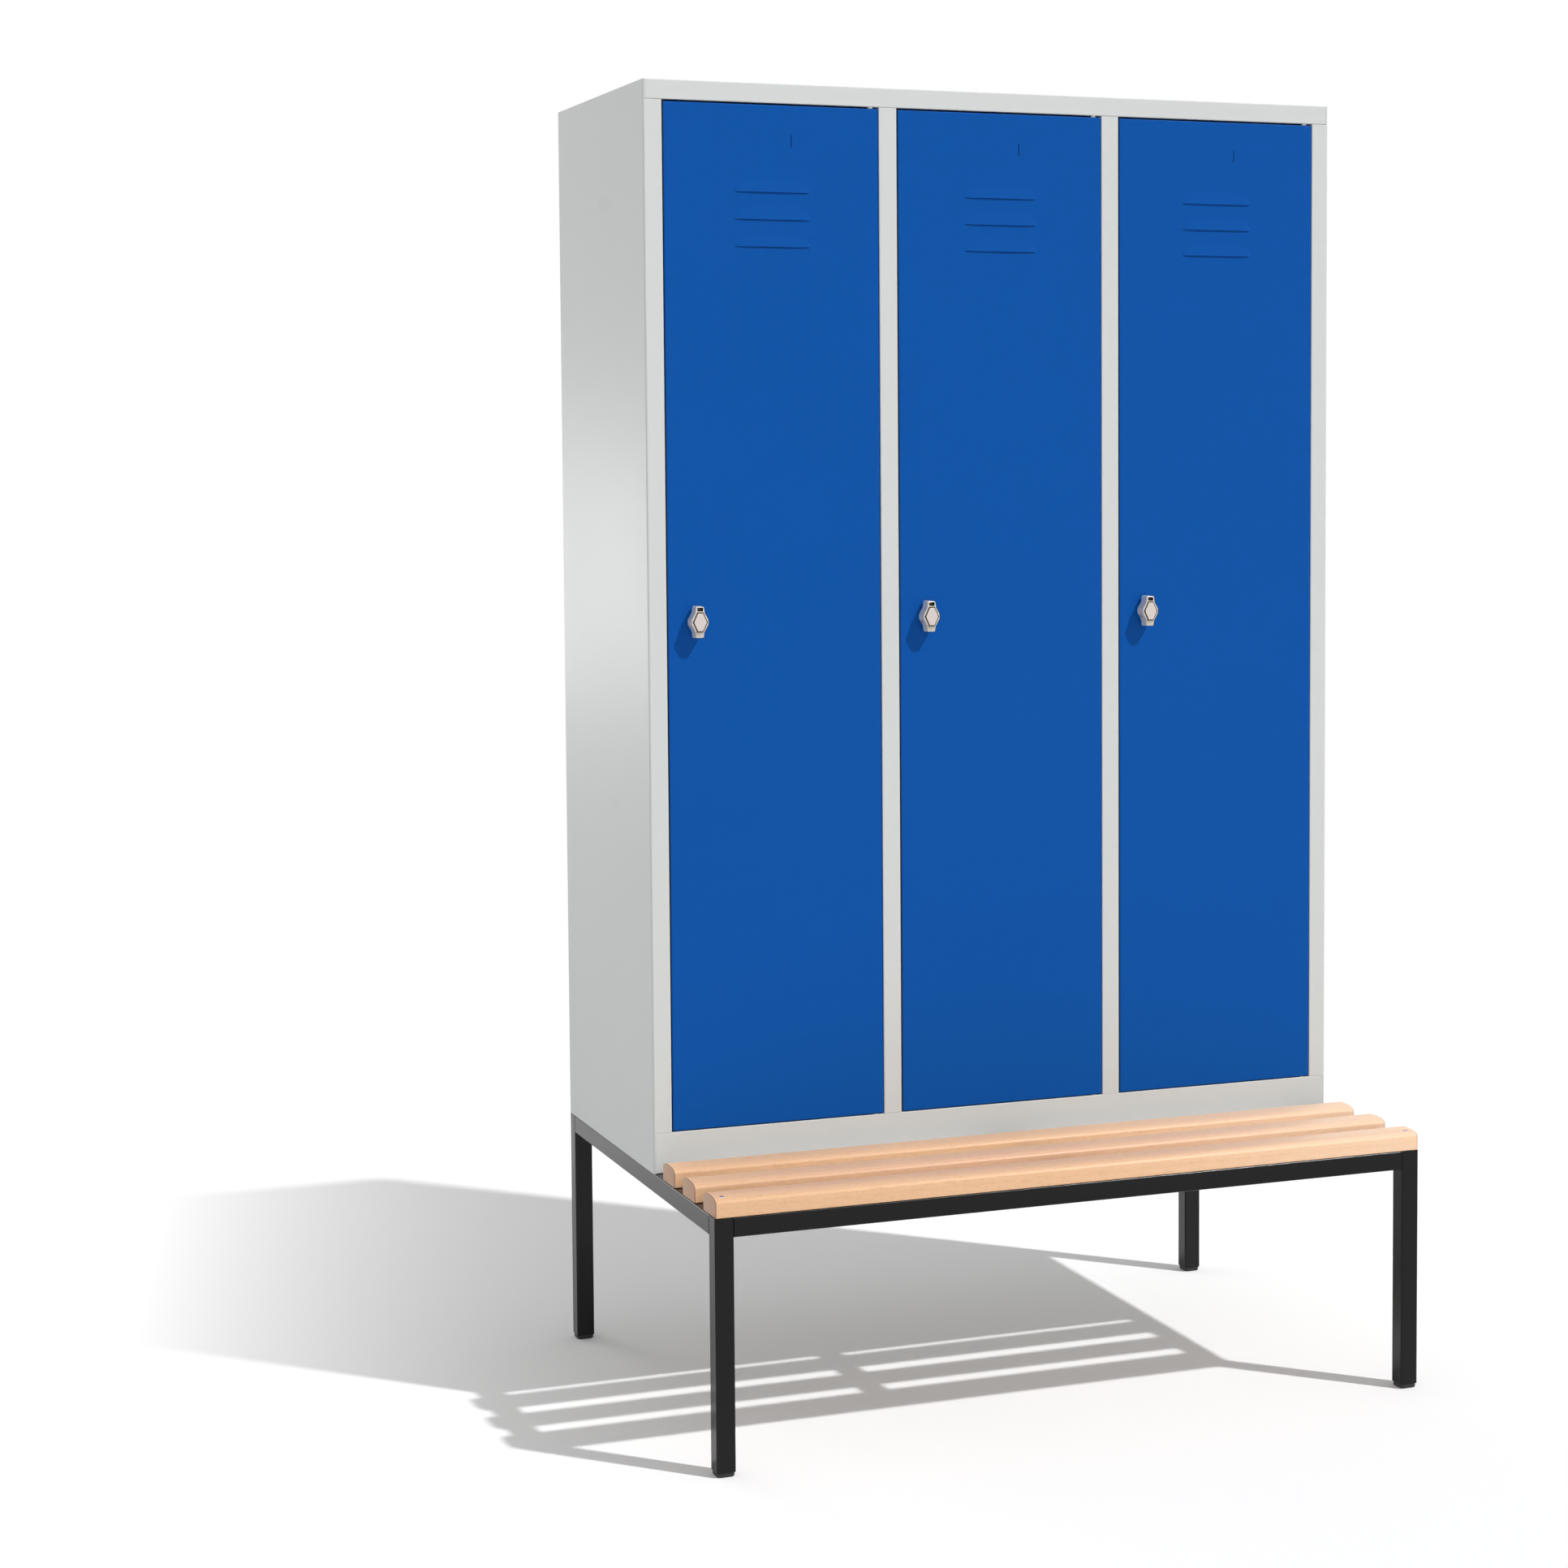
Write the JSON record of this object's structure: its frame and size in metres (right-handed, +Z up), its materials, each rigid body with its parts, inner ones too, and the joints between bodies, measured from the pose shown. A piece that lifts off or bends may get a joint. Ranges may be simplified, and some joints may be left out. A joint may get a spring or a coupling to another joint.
{
  "type": "locker with bench",
  "caption": "Steel clothes locker with side-hinged doors, louvre vents and padlock turn bolts, standing on a square-tube frame that carries a slatted wooden bench.",
  "frame": {"origin": "on the floor, under the middle of the whole object's width and depth", "axes": "+X to the right as seen from the front, +Y from the bench towards the locker's back, +Z up"},
  "size_m": [1.19, 0.81, 2.0903],
  "materials": {
    "body_paint": "satin powder coat, light grey",
    "door_paint": "satin powder coat, gentian blue",
    "frame_paint": "satin powder coat, black",
    "beech": "clear lacquer",
    "nickel": "nickel plate, satin",
    "zinc_plate": "bright zinc plate",
    "rubber": "matte",
    "foot_plastic": "moulded, fine grain"
  },
  "bodies": {
    "locker_and_bench": {"side_panel_left": "body_paint", "side_panel_right": "body_paint", "back_panel": "body_paint", "top_panel": "body_paint", "floor_panel": "body_paint", "top_rail": "body_paint", "bottom_rail": "body_paint", "post_left": "body_paint", "post_right": "body_paint", "partition_left": "body_paint", "partition_right": "body_paint", "hat_shelf_left": "body_paint", "hat_shelf_middle": "body_paint", "hat_shelf_right": "body_paint", "coat_rod_left": "zinc_plate", "coat_rod_middle": "zinc_plate", "coat_rod_right": "zinc_plate", "door_buffer_left": "rubber", "door_buffer_middle": "rubber", "door_buffer_right": "rubber", "leg_front_left": "frame_paint", "leg_front_right": "frame_paint", "leg_back_left": "frame_paint", "leg_back_right": "frame_paint", "foot_cap_front_left": "foot_plastic", "foot_cap_front_right": "foot_plastic", "foot_cap_back_left": "foot_plastic", "foot_cap_back_right": "foot_plastic", "front_tube": "frame_paint", "cross_tube": "frame_paint", "back_tube": "frame_paint", "side_tube_left": "frame_paint", "side_tube_right": "frame_paint", "middle_tube": "frame_paint", "seat_slat_1": "beech", "seat_slat_2": "beech", "seat_slat_3": "beech", "seat_screw_left": "zinc_plate", "seat_screw_right": "zinc_plate"},
    "door_left_leaf": {"door_left": "door_paint", "door_stiffener_left": "door_paint", "hinge_pin_top_left": "zinc_plate", "hinge_pin_bottom_left": "zinc_plate", "lock_base_left": "nickel"},
    "turn_bolt_left": {"knob_left": "nickel", "cam_left": "zinc_plate"},
    "door_middle_leaf": {"door_middle": "door_paint", "door_stiffener_middle": "door_paint", "hinge_pin_top_middle": "zinc_plate", "hinge_pin_bottom_middle": "zinc_plate", "lock_base_middle": "nickel"},
    "turn_bolt_middle": {"knob_middle": "nickel", "cam_middle": "zinc_plate"},
    "door_right_leaf": {"door_right": "door_paint", "door_stiffener_right": "door_paint", "hinge_pin_top_right": "zinc_plate", "hinge_pin_bottom_right": "zinc_plate", "lock_base_right": "nickel"},
    "turn_bolt_right": {"knob_right": "nickel", "cam_right": "zinc_plate"}
  },
  "joints": [
    {"name": "door_left_swing", "type": "hinge", "parent": "locker_and_bench", "child": "door_left_leaf", "pos_m": [-0.22133, -0.089, 1.2553], "axis": [0, 0, 1], "range_deg": [0, 110]},
    {"name": "door_middle_swing", "type": "hinge", "parent": "locker_and_bench", "child": "door_middle_leaf", "pos_m": [0.16533, -0.089, 1.2553], "axis": [0, 0, 1], "range_deg": [0, 110]},
    {"name": "door_right_swing", "type": "hinge", "parent": "locker_and_bench", "child": "door_right_leaf", "pos_m": [0.552, -0.089, 1.2553], "axis": [0, 0, 1], "range_deg": [0, 110]},
    {"name": "knob_left_turn", "type": "hinge", "parent": "door_left_leaf", "child": "turn_bolt_left", "pos_m": [-0.518, -0.095, 1.2553], "axis": [0, 1, 0], "range_deg": [0, 90]},
    {"name": "knob_middle_turn", "type": "hinge", "parent": "door_middle_leaf", "child": "turn_bolt_middle", "pos_m": [-0.13133, -0.095, 1.2553], "axis": [0, 1, 0], "range_deg": [0, 90]},
    {"name": "knob_right_turn", "type": "hinge", "parent": "door_right_leaf", "child": "turn_bolt_right", "pos_m": [0.25533, -0.095, 1.2553], "axis": [0, 1, 0], "range_deg": [0, 90]}
  ]
}
